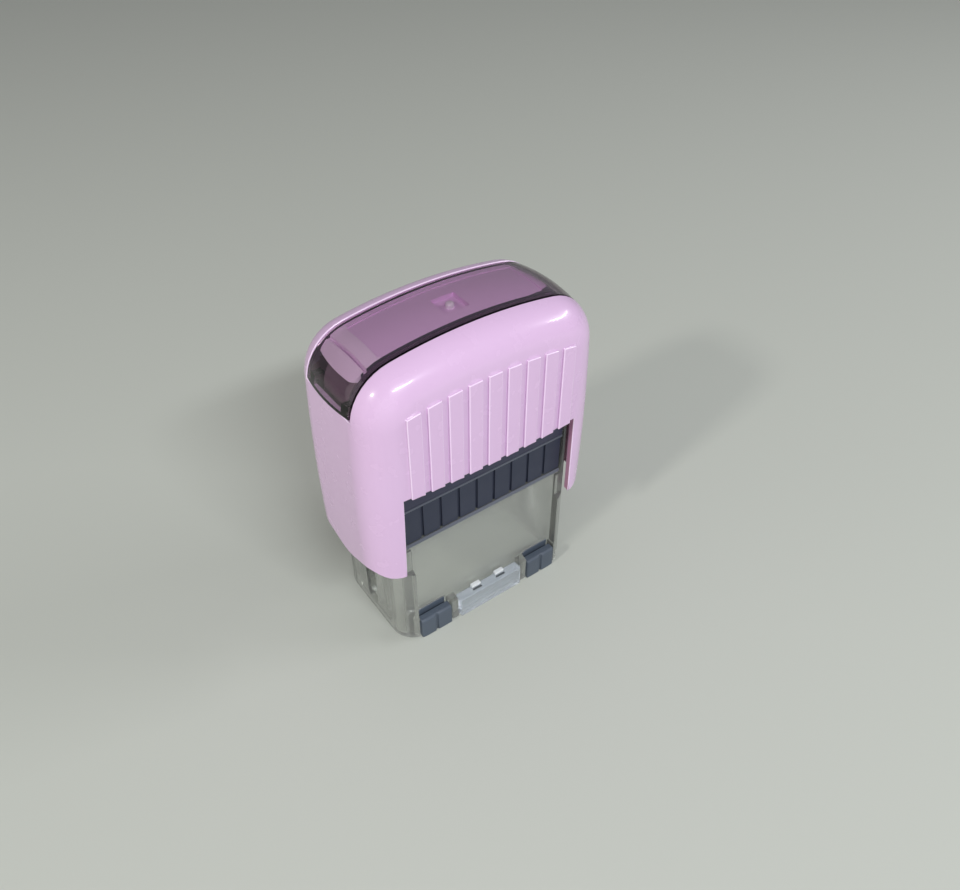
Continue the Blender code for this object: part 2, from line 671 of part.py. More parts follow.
def make_foam_and_text(foam_material, rubber_material):
    """The adhesive foam and the rubber text plate, whose raised field is three plain bars."""
    half_length = TEXT_LENGTH / 2
    half_depth = TEXT_DEPTH / 2
    face = PLATE_REACH
    base_top = face - TEXT_RELIEF
    base_low = base_top - TEXT_BASE
    foam_top = base_low - LAYER_GAP
    foam = block("adhesive_foam", (-half_length, half_length), (-half_depth, half_depth),
                 (foam_top - FOAM_THICKNESS, foam_top), foam_material)
    text = block("text_plate", (-half_length, half_length), (-half_depth, half_depth),
                 (base_low, base_top), rubber_material)
    root = base_top - TEXT_RELIEF
    for index, reach_share in enumerate(TEXT_BAR_SHARES):
        middle = (1 - index) * TEXT_DEPTH / 3
        reach = half_length * reach_share
        add(text, block("text_bar_tool_%d" % index, (-reach, reach),
                        (middle - TEXT_BAR / 2, middle + TEXT_BAR / 2), (root, face)))
    move_to(foam, (0, 0, AXLE_Z))
    move_to(text, (0, 0, AXLE_Z))
    return foam, text


def make_cassette(material):
    """The ink cassette: an upturned tray with a ribbed grip across its front and back."""
    half_x = CASSETTE_HALF_WIDTH
    top = CASSETTE_TOP_Z - GRIP_BEVEL
    profile = [
        (-PANEL_Y, CASSETTE_LOW_Z), (PANEL_Y, CASSETTE_LOW_Z), (PANEL_Y, top),
        (PANEL_Y - GRIP_BEVEL, CASSETTE_TOP_Z), (-PANEL_Y + GRIP_BEVEL, CASSETTE_TOP_Z), (-PANEL_Y, top),
    ]
    cassette = prism("ink_cassette", profile, "X", -half_x, half_x, material)
    under_x = half_x - CASSETTE_RAIL
    under_y = PANEL_Y - GRIP_THICKNESS
    rim_z = PAD_FACE_Z + PAD_PROUD
    cut(cassette, block("under_tool", (-under_x, under_x), (-under_y, under_y),
                        (CASSETTE_LOW_Z - OVERRUN, rim_z)))
    pocket = round_rectangle(PAD_HALF_LENGTH + GAP, PAD_DEPTH / 2 + GAP, PAD_CORNER + GAP, 4)
    cut(cassette, prism("pad_pocket_tool", pocket, "Z", CASSETTE_LOW_Z, PAD_FACE_Z + PAD_THICKNESS + GAP))
    for side, name in ((-1, "front"), (1, "back")):
        face = side * PANEL_Y
        for index in range(GRIP_GROOVES):
            middle = (index - (GRIP_GROOVES - 1) / 2) * GRIP_PITCH
            cut(cassette, block("grip_tool_%s_%d" % (name, index),
                                (middle - GRIP_GROOVE / 2, middle + GRIP_GROOVE / 2),
                                (face - GRIP_GROOVE_DEPTH, face + GRIP_GROOVE_DEPTH),
                                (CASSETTE_LOW_Z - OVERRUN, CASSETTE_TOP_Z + OVERRUN)))
    return cassette


def make_pad(material):
    """The felt ink pad in the cassette, its face just below the cassette's rim."""
    outline = round_rectangle(PAD_HALF_LENGTH, PAD_DEPTH / 2, PAD_CORNER, 4)
    return prism("ink_pad", outline, "Z", PAD_FACE_Z, PAD_FACE_Z + PAD_THICKNESS, material)


def track_point(share):
    """Where the turning lug is, in the YZ plane, after a share of the stroke."""
    turn = math.pi * share
    return (LUG_ARM * math.cos(turn), AXLE_Z - STROKE * share + LUG_ARM * math.sin(turn))


def track_outline(steps=18):
    """The curved track: the lug's path widened by its radius and clearance, with round ends."""
    width = LUG_RADIUS + FOLLOWER_GAP
    left = []
    right = []
    for step in range(steps + 1):
        share = step / steps
        y, z = track_point(share)
        turn = math.pi * share
        slope_y = -LUG_ARM * math.pi * math.sin(turn)
        slope_z = -STROKE + LUG_ARM * math.pi * math.cos(turn)
        length = math.hypot(slope_y, slope_z)
        left.append((y - slope_z / length * width, z + slope_y / length * width))
        right.append((y + slope_z / length * width, z - slope_y / length * width))
    start = track_point(0)
    end = track_point(1)
    cap_start = arc(start, width, 0, 180, 6)[1:-1]
    cap_end = arc(end, width, 180, 360, 6)[1:-1]
    return left + list(reversed(cap_end)) + list(reversed(right)) + list(reversed(cap_start))


def make_frame(material):
    """The clear base frame: round corners, sunk panels, slots, curved tracks and the cassette passage."""
    outline = round_rectangle(FRAME_HALF_WIDTH, FRAME_HALF_DEPTH, FRAME_CORNER, 7)
    frame = prism("base_frame", outline, "Z", GAP, FRAME_TOP_Z, material)

    corner = (FRAME_HALF_WIDTH - FRAME_TOP_CORNER, FRAME_TOP_Z - FRAME_TOP_CORNER)
    front = arc(corner, FRAME_TOP_CORNER, 0, 90, 6)
    front = [(FRAME_HALF_WIDTH, -OVERRUN)] + front
    front += mirrored(reversed(front), -1)
    combine(frame, prism("front_tool", front, "Y", -FRAME_HALF_DEPTH - OVERRUN, FRAME_HALF_DEPTH + OVERRUN),
            "INTERSECT")

    inner = round_rectangle(FRAME_INNER_X, FRAME_INNER_Y, FRAME_INNER_CORNER, 4)
    cut(frame, prism("inner_tool", inner, "Z", -OVERRUN, DECK_Z))
    cut(frame, prism("head_tool", inner, "Z", DECK_TOP_Z, FRAME_TOP_Z + OVERRUN))

    wide = FRAME_HALF_WIDTH + OVERRUN
    far = FRAME_HALF_DEPTH + OVERRUN
    step_z = HOUSING_LOW_Z - SHOULDER_DROP
    for side, name in ((-1, "front"), (1, "back")):
        shoulder = [(side * FRAME_UPPER_Y, step_z), (side * far, step_z - SHOULDER_SLOPE),
                    (side * far, FRAME_TOP_Z + OVERRUN), (side * FRAME_UPPER_Y, FRAME_TOP_Z + OVERRUN)]
        cut(frame, prism("shoulder_tool_" + name, shoulder, "X", -wide, wide))
        panel = [(side * PANEL_Y, LEDGE_BACK_Z), (side * FRAME_HALF_DEPTH, LEDGE_FRONT_Z),
                 (side * far, LEDGE_FRONT_Z), (side * far, PANEL_TOP_Z), (side * PANEL_Y, PANEL_TOP_Z)]
        cut(frame, prism("panel_tool_" + name, panel, "X", -PANEL_HALF_WIDTH, PANEL_HALF_WIDTH))
        flange_y = sorted((side * PANEL_Y, side * far))
        cut(frame, block("flange_tool_" + name, (-PASSAGE_HALF_WIDTH, PASSAGE_HALF_WIDTH), flange_y,
                         (PANEL_TOP_Z, FRAME_TOP_Z + OVERRUN)))

    cut(frame, block("passage_tool", (-PASSAGE_HALF_WIDTH, PASSAGE_HALF_WIDTH), (-far, far),
                     (RAIL_TOP_Z, DECK_Z)))

    for side, name in ((-1, "left"), (1, "right")):
        half_plate = LUG_ARM + LUG_RADIUS + FOLLOWER_GAP + TRACK_MARGIN
        bite = FRAME_WALL / 2
        track_x = sorted((side * TRACK_X, side * (FRAME_INNER_X + bite)))
        add(frame, block("track_plate_tool_" + name, track_x, (-half_plate, half_plate),
                         (OVERRUN, RAIL_TOP_Z)))
        cut(frame, prism("track_tool_" + name, track_outline(), "X",
                         side * (TRACK_X - OVERRUN), side * FRAME_INNER_X))
        slot_radius = AXLE_RADIUS + RUN
        slot = arc((0, AXLE_Z), slot_radius, 0, 180, 8) + arc((0, AXLE_Z - STROKE), slot_radius, 180, 360, 8)
        cut(frame, prism("axle_slot_tool_" + name, slot, "X", side * (TRACK_X - OVERRUN), side * wide))

    add(frame, prism("spigot_tool", arc((0, 0), SPIGOT_RADIUS, 0, 345, 23), "Z",
                     DECK_TOP_Z - DECK_THICKNESS / 2, DECK_TOP_Z + SPIGOT_HEIGHT))

    for side, name in ((-1, "front"), (1, "back")):
        pocket_y = sorted((side * PANEL_Y, side * far))
        foot_middle = (FOOT_INNER_X + FOOT_OUTER_X) / 2
        half = foot_middle - FOOT_INNER_X + GAP
        pocket_z = (FOOT_POCKET_TOP_Z - OVERRUN) / 2
        for hand, hand_name in ((-1, "left"), (1, "right")):
            pocket = [(hand * foot_middle + x, pocket_z + z) for x, z in
                      round_rectangle(half, FOOT_POCKET_TOP_Z - pocket_z, FOOT_POCKET_CORNER, 4)]
            cut(frame, prism("foot_pocket_tool_%s_%s" % (name, hand_name), pocket, "Y",
                             side * (PANEL_Y - FOOT_POCKET_RECESS), side * far))
            cut(frame, block("foot_floor_tool_%s_%s" % (name, hand_name),
                             (hand * foot_middle - half, hand * foot_middle + half), pocket_y,
                             (-OVERRUN, FOOT_HEIGHT / 2)))
        sill_room = (-SILL_HALF_WIDTH - GAP, SILL_HALF_WIDTH + GAP)
        cut(frame, block("sill_pocket_tool_" + name, sill_room, pocket_y, (-OVERRUN, LEDGE_BACK_Z + GAP)))
    smooth(frame)
    return frame


def frame_front_y(x):
    """Depth of the frame's outer face at a place x, on its flat or its round corner."""
    start = FRAME_HALF_WIDTH - FRAME_CORNER
    run = max(abs(x) - start, 0)
    return FRAME_HALF_DEPTH - FRAME_CORNER + math.sqrt(FRAME_CORNER * FRAME_CORNER - run * run)


def make_feet(material):
    """Four rubber feet in the frame's pockets, each with a groove down the middle of its face."""
    inner_y = PANEL_Y + GAP
    steps = 6
    for side, name in ((-1, "front"), (1, "back")):
        for hand, hand_name in ((-1, "left"), (1, "right")):
            xs = [FOOT_INNER_X + (FOOT_OUTER_X - FOOT_INNER_X) * step / steps for step in range(steps + 1)]
            rings = []
            for z, back in ((0, 0), (FOOT_HEIGHT - FOOT_BEVEL, 0), (FOOT_HEIGHT, FOOT_BEVEL)):
                plan = [(hand * x, side * (frame_front_y(x) + FOOT_PROUD - back), z) for x in xs]
                plan += [(hand * FOOT_OUTER_X, side * inner_y, z), (hand * FOOT_INNER_X, side * inner_y, z)]
                rings.append(plan)
            foot = loft("foot_%s_%s" % (name, hand_name), rings, material)
            middle = hand * (FOOT_INNER_X + FOOT_OUTER_X) / 2
            face = side * (FRAME_HALF_DEPTH + FOOT_PROUD)
            cut(foot, block("foot_groove_tool_%s_%s" % (name, hand_name),
                            (middle - FOOT_GROOVE / 2, middle + FOOT_GROOVE / 2),
                            (face - FOOT_GROOVE_DEPTH, face + FOOT_GROOVE_DEPTH), (-OVERRUN, TOP_Z)))


def make_sills(material):
    """Two clear sills that clip into the frame between the feet, with two tabs each."""
    for side, name in ((-1, "front"), (1, "back")):
        inner = PANEL_Y + GAP
        sill_y = sorted((side * inner, side * (FRAME_HALF_DEPTH + SILL_PROUD)))
        sill = block("sill_" + name, (-SILL_HALF_WIDTH, SILL_HALF_WIDTH), sill_y, (GAP, SILL_TOP_Z), material)
        tab_y = sorted((side * inner, side * (inner + TAB_THICKNESS)))
        for hand in (-1, 1):
            tab_x = (hand * TAB_X - TAB_HALF_WIDTH, hand * TAB_X + TAB_HALF_WIDTH)
            add(sill, block("tab_tool_%s_%d" % (name, hand), tab_x, tab_y,
                            (SILL_TOP_Z - TAB_THICKNESS, SILL_TOP_Z + TAB_RISE)))


def spring_points():
    """The spring's centre line, from the deck up to the roof of the yoke's cup."""
    low = DECK_TOP_Z + GAP + WIRE_RADIUS
    high = CUP_ROOF_Z - GAP - WIRE_RADIUS
    count = SPRING_TURNS * POINTS_PER_TURN
    points = []
    for step in range(count + 1):
        share = step / count
        angle = 2 * math.pi * SPRING_TURNS * share
        height = low + (high - low) * share
        points.append((SPRING_RADIUS * math.cos(angle), SPRING_RADIUS * math.sin(angle), height))
    return points


def make_spring(material):
    """The return spring, one unbroken coil of wire."""
    points = spring_points()
    curve = bpy.data.curves.new("return_spring", "CURVE")
    curve.dimensions = "3D"
    curve.bevel_depth = WIRE_RADIUS
    curve.bevel_resolution = 1
    curve.use_fill_caps = True
    spline = curve.splines.new("POLY")
    spline.points.add(len(points) - 1)
    for point, place_at in zip(spline.points, points):
        point.co = (*place_at, 1.0)
    spring = bpy.data.objects.new("return_spring", curve)
    bpy.context.collection.objects.link(spring)
    spring.data.materials.append(material)
    least = min(math.dist(points[i], points[j]) for i in range(len(points))
                for j in range(i + POINTS_PER_TURN // 2, len(points))) - 2 * WIRE_RADIUS
    print("Least gap between the spring's turns: %.2f mm" % (least / MM))


def main():
    for old in list(bpy.data.objects):
        bpy.data.objects.remove(old, do_unlink=True)

    pink = new_material("pink_gloss", (0.86, 0.56, 0.75), 0.25)
    mauve = new_material("pink_seat", (0.80, 0.52, 0.68), 0.35)
    smoky_purple = new_material("smoky_purple_clear", (0.32, 0.20, 0.30), 0.08, 0.45)
    smoky_grey = new_material("smoky_grey_clear", (0.52, 0.54, 0.47), 0.1, 0.45)
    slate = new_material("slate_matte", (0.05, 0.055, 0.08), 0.6)
    foot_rubber = new_material("foot_rubber", (0.10, 0.12, 0.16), 0.7)
    dark = new_material("dark_inner", (0.04, 0.045, 0.05), 0.5)
    felt = new_material("ink_felt", (0.03, 0.03, 0.06), 0.95)
    foam_grey = new_material("foam_grey", (0.55, 0.55, 0.52), 0.9)
    red_rubber = new_material("plate_rubber", (0.45, 0.12, 0.10), 0.7)
    steel = new_material("spring_steel", (0.62, 0.62, 0.64), 0.3, 1.0, 1.0)

    make_frame(smoky_grey)
    make_feet(foot_rubber)
    make_sills(smoky_grey)
    make_cassette(slate)
    make_pad(felt)
    make_spring(steel)
    make_housing(pink)
    make_yoke(dark)
    make_axle_pins(dark)
    make_seat(mauve)
    make_window(smoky_purple)
    make_platen(dark)
    make_foam_and_text(foam_grey, red_rubber)


main()
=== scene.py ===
"""Looks of the self-inking office stamp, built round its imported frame.

Metres, Z up, in the frame's own axes: X along the text plate, -Y the ribbed front, Z up from the
table. Each rigid solid of the frame is copied, merged and given rounded edges. The soft pieces, the
coil and the small trim that the solids leave out are modelled here.
"""
import math

import bmesh
import bpy
from mathutils import Matrix, Vector
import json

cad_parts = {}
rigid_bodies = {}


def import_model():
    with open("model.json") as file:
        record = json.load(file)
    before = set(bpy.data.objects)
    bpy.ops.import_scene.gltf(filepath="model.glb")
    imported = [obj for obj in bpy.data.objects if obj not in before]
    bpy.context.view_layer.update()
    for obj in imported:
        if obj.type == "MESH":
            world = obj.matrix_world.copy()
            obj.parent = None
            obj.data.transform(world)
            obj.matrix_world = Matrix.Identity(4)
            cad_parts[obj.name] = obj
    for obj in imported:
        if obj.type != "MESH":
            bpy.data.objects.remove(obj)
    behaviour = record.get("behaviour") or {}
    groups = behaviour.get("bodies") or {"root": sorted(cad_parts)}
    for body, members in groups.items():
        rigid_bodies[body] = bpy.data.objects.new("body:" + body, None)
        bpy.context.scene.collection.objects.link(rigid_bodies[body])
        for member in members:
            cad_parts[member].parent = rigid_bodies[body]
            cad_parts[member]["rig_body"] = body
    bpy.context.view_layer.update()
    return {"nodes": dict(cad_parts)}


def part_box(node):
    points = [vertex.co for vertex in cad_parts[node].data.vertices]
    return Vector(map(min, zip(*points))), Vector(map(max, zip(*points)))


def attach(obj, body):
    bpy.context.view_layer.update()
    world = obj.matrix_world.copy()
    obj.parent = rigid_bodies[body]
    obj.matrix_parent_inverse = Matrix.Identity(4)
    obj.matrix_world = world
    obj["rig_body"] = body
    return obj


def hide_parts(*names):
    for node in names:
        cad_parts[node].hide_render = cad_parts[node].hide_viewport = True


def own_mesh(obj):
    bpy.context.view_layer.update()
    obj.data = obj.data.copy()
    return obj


MM = 0.001

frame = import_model()

# The photograph's view, lens and sensor in millimetres as the camera takes them
STAMP_MIDDLE = Vector((0, 0, 28.5 * MM))
VIEW_AZIMUTH = math.radians(-35.847)
VIEW_ELEVATION = math.radians(41.529)
VIEW_DISTANCE = 143.90 * MM
VIEW_RIGHT = 4.384 * MM
VIEW_UP = 0.569 * MM
LENS = 32.70
SENSOR = 36.0
NEAR_CLIP = 1 * MM

# Floor, sky and lamps
FLOOR_REACH = 1500 * MM
FLOOR_COLOUR = (0.57, 0.59, 0.54, 1)
FLOOR_ROUGHNESS = 0.6
SKY_COLOUR = (0.97, 0.98, 1.0, 1)
SKY_STRENGTH = 0.25
LAMP_DISTANCE = 600 * MM
# Name, azimuth and elevation in degrees, length, height, power in watts, colour
LAMPS = (
    ("front lamp", -4, 43, 260 * MM, 40 * MM, 1.7, (0.95, 0.98, 1.0)),
    ("low lamp", -32, 12, 500 * MM, 500 * MM, 0.6, (0.98, 0.99, 1.0)),
    ("left lamp", -78, 37, 50 * MM, 50 * MM, 0.9, (1.0, 0.98, 0.93)),
    ("far left lamp", -95, 14, 600 * MM, 600 * MM, 0.6, (1.0, 0.97, 0.93)),
    ("right lamp", 64, 30, 220 * MM, 16 * MM, 0.8, (0.97, 0.97, 1.0)),
)

# Finishes: scales are per metre, a swing is a share of the roughness
NOISE_LOW = 0.3
NOISE_HIGH = 0.7
SKIN_DEPTH = 0.1 * MM
COAT_ROUGHNESS = 0.08
GLOSS_DRIFT = 6
GLOSS_SWING = 0.1
CLEAR_IOR = 1.5
CLEAR_DRIFT = 90
CLEAR_GLOSS_DRIFT = 700
CLEAR_GLOSS_SWING = 0.2
CLEAR_GRAIN = 260
CLEAR_RELIEF = 0.03

# Joining and rounding of the copied solids
MERGE = 0.002 * MM
CUT_ROOM = MERGE / 4
FLAT = math.radians(0.5)
CREASE = math.radians(32)
EDGE_SEGMENTS = 2
KEEP_SLOT = -1
PLATE_EDGE = 0.06 * MM
CASSETTE_EDGE = 0.1 * MM
SHELL_EDGE = 0.12 * MM
MOULDING_EDGE = 0.15 * MM
STURDY_EDGE = 0.2 * MM

# Left and right, front and back, with their signs on X and Y
HANDS = ((-1, "left"), (1, "right"))
WAYS = ((-1, "front"), (1, "back"))

# Places of the further finishes in the lists of the cap, the yoke and the seat
CAP_EDGE_HIGHLIGHT_SLOT = 1
CAP_INNER_SHADE_SLOT = 2
YOKE_LEG_SHADE_SLOT = 1
NUB_SLOT = 1
SEAT_CORNER_SHADE_SLOT = 2
SEAT_END_LIGHT_SLOT = 3

# The housing's outline, which the window's front rail follows
ARCH_RADIUS = 82.0 * MM
SHOULDER_RADIUS = 8.2 * MM
SHOULDER_X = 12.75 * MM
CROWN_Z = 57.0 * MM
RAIL_DROP = 0.95 * MM
RAIL_HEIGHT = 0.9 * MM
RAIL_FRONT_Y = -5.85 * MM
RAIL_BACK_Y = -4.4 * MM
RAIL_TURN = math.radians(56)
RAIL_ARCH_STEPS = 10
RAIL_SHOULDER_STEPS = 12

# The skirt's edge over the grip, and its wave
SKIRT_Z = 33.85 * MM
SKIRT_CROWN = 0.65 * MM
SKIRT_HALF_WIDTH = 16.1 * MM
NOTCH_REACH = 0.3 * MM
SCALLOPS = 8
SCALLOP_PITCH = 3.44 * MM
SCALLOP_HEIGHT = -0.1 * MM
SCALLOP_REACH = SCALLOPS * SCALLOP_PITCH / 2
SCALLOP_CUTS = 8

# The outer ribs' upper corners, the cap's inner walls, which get painted shade, and the yoke's legs
RIB_END_X = 14.935 * MM
RIB_END_ROOM = 0.02 * MM
RIB_END_Y = 11.097 * MM
RIB_END_Z = (49.2 * MM, 49.45 * MM)
INNER_X = 20.5 * MM
INNER_Y = 10.6 * MM
INNER_TOP = 48.0 * MM
SIDEWAYS = 0.9
LEG_TOP = 44.0 * MM

# Trim on the clear base, with painted highlights on the ledge, strip and catches and painted shade
# in the slots
TRIM_GAP = 0.04 * MM
TRIM_EDGE = 0.08 * MM
GUARD_THICKNESS = 0.3 * MM
GUARD_LEDGE = 0.45 * MM
GUARD_PROUD = 0.1 * MM
STRIP_HEIGHT = 0.75 * MM
STRIP_THICKNESS = 0.18 * MM
TOE_X = (8.6 * MM, 14.0 * MM)
TOE_Y = (8.45 * MM, 8.85 * MM)
TOE_Z = (0.6 * MM, 5.25 * MM)
CATCH_X = 2.5 * MM
CATCH_HALF_WIDTH = 0.9 * MM
CATCH_Y = (9.22 * MM, 9.95 * MM)
CATCH_Z = (4.8 * MM, 5.3 * MM)
SLOT_Y = (9.98 * MM, 10.36 * MM)
SLOT_Z = (4.4 * MM, 4.64 * MM)

# Return spring
COIL_RADIUS = 4.2 * MM
WIRE_RADIUS = 0.28 * MM
COIL_TURNS = 7
COIL_STEPS = 36
WIRE_SIDES = 12

# Seat: the nub, painted shade on the front right corner and painted light on the left end
NUB_RADIUS = 0.75 * MM
NUB_ROUND = 0.42 * MM
NUB_SEGMENTS = 5
LEVEL_ROOM = 0.05 * MM
SEAT_SHADE_MIDDLE = Vector((10 * MM, -0.5 * MM, 0))
SEAT_SHADE_REACH = Vector((7 * MM, 3.6 * MM, 0))
SEAT_SHADE_STEPS = 7
SEAT_END_X = 14.0 * MM

# Ink pad and foam: cuts a side and pull of their walls
PAD_CUTS = 9
PAD_PULL = 0.15 * MM
FOAM_CUTS = 7
FOAM_PULL = 0.06 * MM
CROWN_POWER = 4
SOFT_LEVELS = 1


# Finishes

def finish_of(name):
    """A new finish: its material, node tree, surface shader and object coordinates."""
    material = bpy.data.materials.new(name)
    material.use_nodes = True
    tree = material.node_tree
    where = tree.nodes.new("ShaderNodeTexCoord")
    return material, tree, tree.nodes["Principled BSDF"], where.outputs["Object"]


def noise(tree, where, scale, detail, roughness=0.5):
    """Noise of a scale per metre on object coordinates."""
    node = tree.nodes.new("ShaderNodeTexNoise")
    node.inputs["Scale"].default_value = scale
    node.inputs["Detail"].default_value = detail
    node.inputs["Roughness"].default_value = roughness
    tree.links.new(where, node.inputs["Vector"])
    return node.outputs["Fac"]


def spread(tree, source, low, high):
    """A noise carried from its usual range to another."""
    node = tree.nodes.new("ShaderNodeMapRange")
    node.inputs["From Min"].default_value = NOISE_LOW
    node.inputs["From Max"].default_value = NOISE_HIGH
    node.inputs["To Min"].default_value = low
    node.inputs["To Max"].default_value = high
    tree.links.new(source, node.inputs["Value"])
    return node.outputs["Result"]


def blend_colours(tree, factor, first, second):
    """A colour between two, led by a value."""
    node = tree.nodes.new("ShaderNodeMix")
    node.data_type = "RGBA"
    node.inputs["A"].default_value = (*first, 1)
    node.inputs["B"].default_value = (*second, 1)
    tree.links.new(factor, node.inputs["Factor"])
    return node.outputs["Result"]


def bump(tree, shader, height, strength):
    """A fine skin from a height value."""
    node = tree.nodes.new("ShaderNodeBump")
    node.inputs["Strength"].default_value = strength
    node.inputs["Distance"].default_value = SKIN_DEPTH
    tree.links.new(height, node.inputs["Height"])
    tree.links.new(node.outputs["Normal"], shader.inputs["Normal"])


def moulded(name, light, dark, roughness, coat=0.0, drift=60, grain=1500, relief=0.01,
            metallic=0.0, shine=0.5):
    """Moulded plastic, rubber or wire: slow drift of colour, uneven gloss and a fine skin."""
    material, tree, shader, where = finish_of(name)
    colour = blend_colours(tree, spread(tree, noise(tree, where, drift, detail=2), 0, 1),
                           light, dark)
    tree.links.new(colour, shader.inputs["Base Color"])
    gloss = spread(tree, noise(tree, where, drift * GLOSS_DRIFT, detail=4),
                   roughness * (1 - GLOSS_SWING), roughness * (1 + GLOSS_SWING))
    tree.links.new(gloss, shader.inputs["Roughness"])
    shader.inputs["Metallic"].default_value = metallic
    shader.inputs["Coat Weight"].default_value = coat
    shader.inputs["Coat Roughness"].default_value = COAT_ROUGHNESS
    shader.inputs["Specular IOR Level"].default_value = shine
    bump(tree, shader, noise(tree, where, grain, detail=3), relief)
    return material


def tinted(name, light, dark, roughness, tint, density, clear=1.0):
    """Clear plastic that is darker where it is thicker.

    Shadow and diffuse rays pass straight through its surface, so that what lies inside is lit.
    """
    material, tree, shader, where = finish_of(name)
    colour = blend_colours(tree, spread(tree, noise(tree, where, CLEAR_DRIFT, detail=2), 0, 1),
                           light, dark)
    tree.links.new(colour, shader.inputs["Base Color"])
    shader.inputs["Transmission Weight"].default_value = clear
    shader.inputs["IOR"].default_value = CLEAR_IOR
    gloss = spread(tree, noise(tree, where, CLEAR_GLOSS_DRIFT, detail=3),
                   roughness * (1 - CLEAR_GLOSS_SWING), roughness * (1 + CLEAR_GLOSS_SWING))
    tree.links.new(gloss, shader.inputs["Roughness"])
    bump(tree, shader, noise(tree, where, CLEAR_GRAIN, detail=2), CLEAR_RELIEF)

    rays = tree.nodes.new("ShaderNodeLightPath")
    either = tree.nodes.new("ShaderNodeMath")
    either.operation = "MAXIMUM"
    tree.links.new(rays.outputs["Is Shadow Ray"], either.inputs[0])
    tree.links.new(rays.outputs["Is Diffuse Ray"], either.inputs[1])
    through = tree.nodes.new("ShaderNodeBsdfTransparent")
    mix = tree.nodes.new("ShaderNodeMixShader")
    tree.links.new(either.outputs["Value"], mix.inputs["Fac"])
    tree.links.new(shader.outputs["BSDF"], mix.inputs[1])
    tree.links.new(through.outputs["BSDF"], mix.inputs[2])
    absorb = tree.nodes.new("ShaderNodeVolumeAbsorption")
    absorb.inputs["Color"].default_value = (*tint, 1)
    absorb.inputs["Density"].default_value = density
    surface = tree.nodes["Material Output"]
    tree.links.new(mix.outputs["Shader"], surface.inputs["Surface"])
    tree.links.new(absorb.outputs["Volume"], surface.inputs["Volume"])
    return material


# Pieces

def new_object(name, data):
    """An object of some data, linked to the scene."""
    made = bpy.data.objects.new(name, data)
    bpy.context.scene.collection.objects.link(made)
    return made


def link_piece(name, shape, materials, edge, edge_slot=KEEP_SLOT, outward=False):
    """Turn a bmesh into a smooth-shaded piece whose sharp edges are rounded.

    With outward set, only the edges that point outward are rounded, each to its full width.
    """
    if outward:
        weight = shape.edges.layers.float.new("bevel_weight_edge")
        for side in shape.edges:
            side[weight] = side.is_convex and side.calc_face_angle(0) > CREASE
    mesh = bpy.data.meshes.new(name)
    shape.to_mesh(mesh)
    shape.free()
    mesh.shade_smooth()
    mesh.set_sharp_from_angle(angle=CREASE)
    piece = new_object(name, mesh)
    for material in materials:
        mesh.materials.append(material)
    if edge:
        rounding = piece.modifiers.new("rounded edges", "BEVEL")
        rounding.width = edge
        rounding.segments = EDGE_SEGMENTS
        rounding.limit_method = "WEIGHT" if outward else "ANGLE"
        rounding.angle_limit = CREASE
        rounding.use_clamp_overlap = not outward
        rounding.material = edge_slot
    settled = piece.modifiers.new("even shading", "WEIGHTED_NORMAL")
    settled.keep_sharp = True
    return piece


def refined(node, name, materials, edge, shaping=None, edge_slot=KEEP_SLOT, outward=False):
    """A merged copy of a node's solid with rounded edges, which stands for the node."""
    shape = bmesh.new()
    shape.from_mesh(frame["nodes"][node].data)
    bmesh.ops.remove_doubles(shape, verts=shape.verts, dist=MERGE)
    bmesh.ops.dissolve_limit(shape, angle_limit=FLAT, verts=shape.verts, edges=shape.edges)
    for face in shape.faces:
        face.material_index = 0
    if shaping:
        shaping(shape)
    piece = link_piece(name, shape, materials, edge, edge_slot, outward)
    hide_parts(node)
    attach(piece, frame["nodes"][node]["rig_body"])
    return piece


def trim(name, shape, material, body, edge=0.0):
    """A new piece that rides on a body and takes its finish from a slot."""
    piece = link_piece(name, shape, [material], edge)
    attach(piece, body)
    return piece


def bar_shape(x_range, y_range, z_range):
    """A straight bar between pairs of limits."""
    shape = bmesh.new()
    bmesh.ops.create_cube(shape, size=1)
    ranges = [sorted(limits) for limits in (x_range, y_range, z_range)]
    bmesh.ops.scale(shape, vec=[high - low for low, high in ranges], verts=shape.verts)
    bmesh.ops.translate(shape, vec=[(high + low) / 2 for low, high in ranges], verts=shape.verts)
    return shape


def over_skirt(vert):
    """How far a point lies over the skirt's edge."""
    share = vert.co.x / SKIRT_HALF_WIDTH
    return vert.co.z - SKIRT_Z - SKIRT_CROWN * share * share


def join_rib_ends(shape):
    """Close the slivers at the outer ribs' upper corners, each low point onto the one over it."""
    ends = sorted((vert for vert in shape.verts
                   if abs(abs(vert.co.x) - RIB_END_X) < RIB_END_ROOM
                   and abs(vert.co.y) < RIB_END_Y and RIB_END_Z[0] < vert.co.z < RIB_END_Z[1]),
                  key=lambda vert: vert.co.z)
    pairs = {under: over for under in ends for over in ends
             if over.co.z > under.co.z and under.co.x * over.co.x > 0
             and under.co.y * over.co.y > 0}
    bmesh.ops.weld_verts(shape, targetmap=pairs)


def wave_skirt(shape):
    """Level the notches in the skirt's edge, then carry the edge in an even wave."""
    for vert in shape.verts:
        if abs(vert.co.x) < SKIRT_HALF_WIDTH and MERGE < over_skirt(vert) < NOTCH_REACH:
            vert.co.z -= over_skirt(vert)
    for step in range(SCALLOPS * SCALLOP_CUTS + 1):
        x = -SCALLOP_REACH + SCALLOP_PITCH * step / SCALLOP_CUTS
        edging = {face for vert in shape.verts if abs(over_skirt(vert)) < MERGE
                  for face in vert.link_faces}
        bordering = {item for face in edging for item in (*face.verts, *face.edges)}
        bmesh.ops.bisect_plane(shape, geom=list(edging | bordering), dist=CUT_ROOM,
                               plane_co=(x, 0, 0), plane_no=(1, 0, 0))
    for vert in shape.verts:
        if abs(vert.co.x) < SCALLOP_REACH and abs(over_skirt(vert)) < MERGE:
            wave = math.cos(math.tau * vert.co.x / SCALLOP_PITCH)
            vert.co.z += SCALLOP_HEIGHT * (1 - wave) / 2


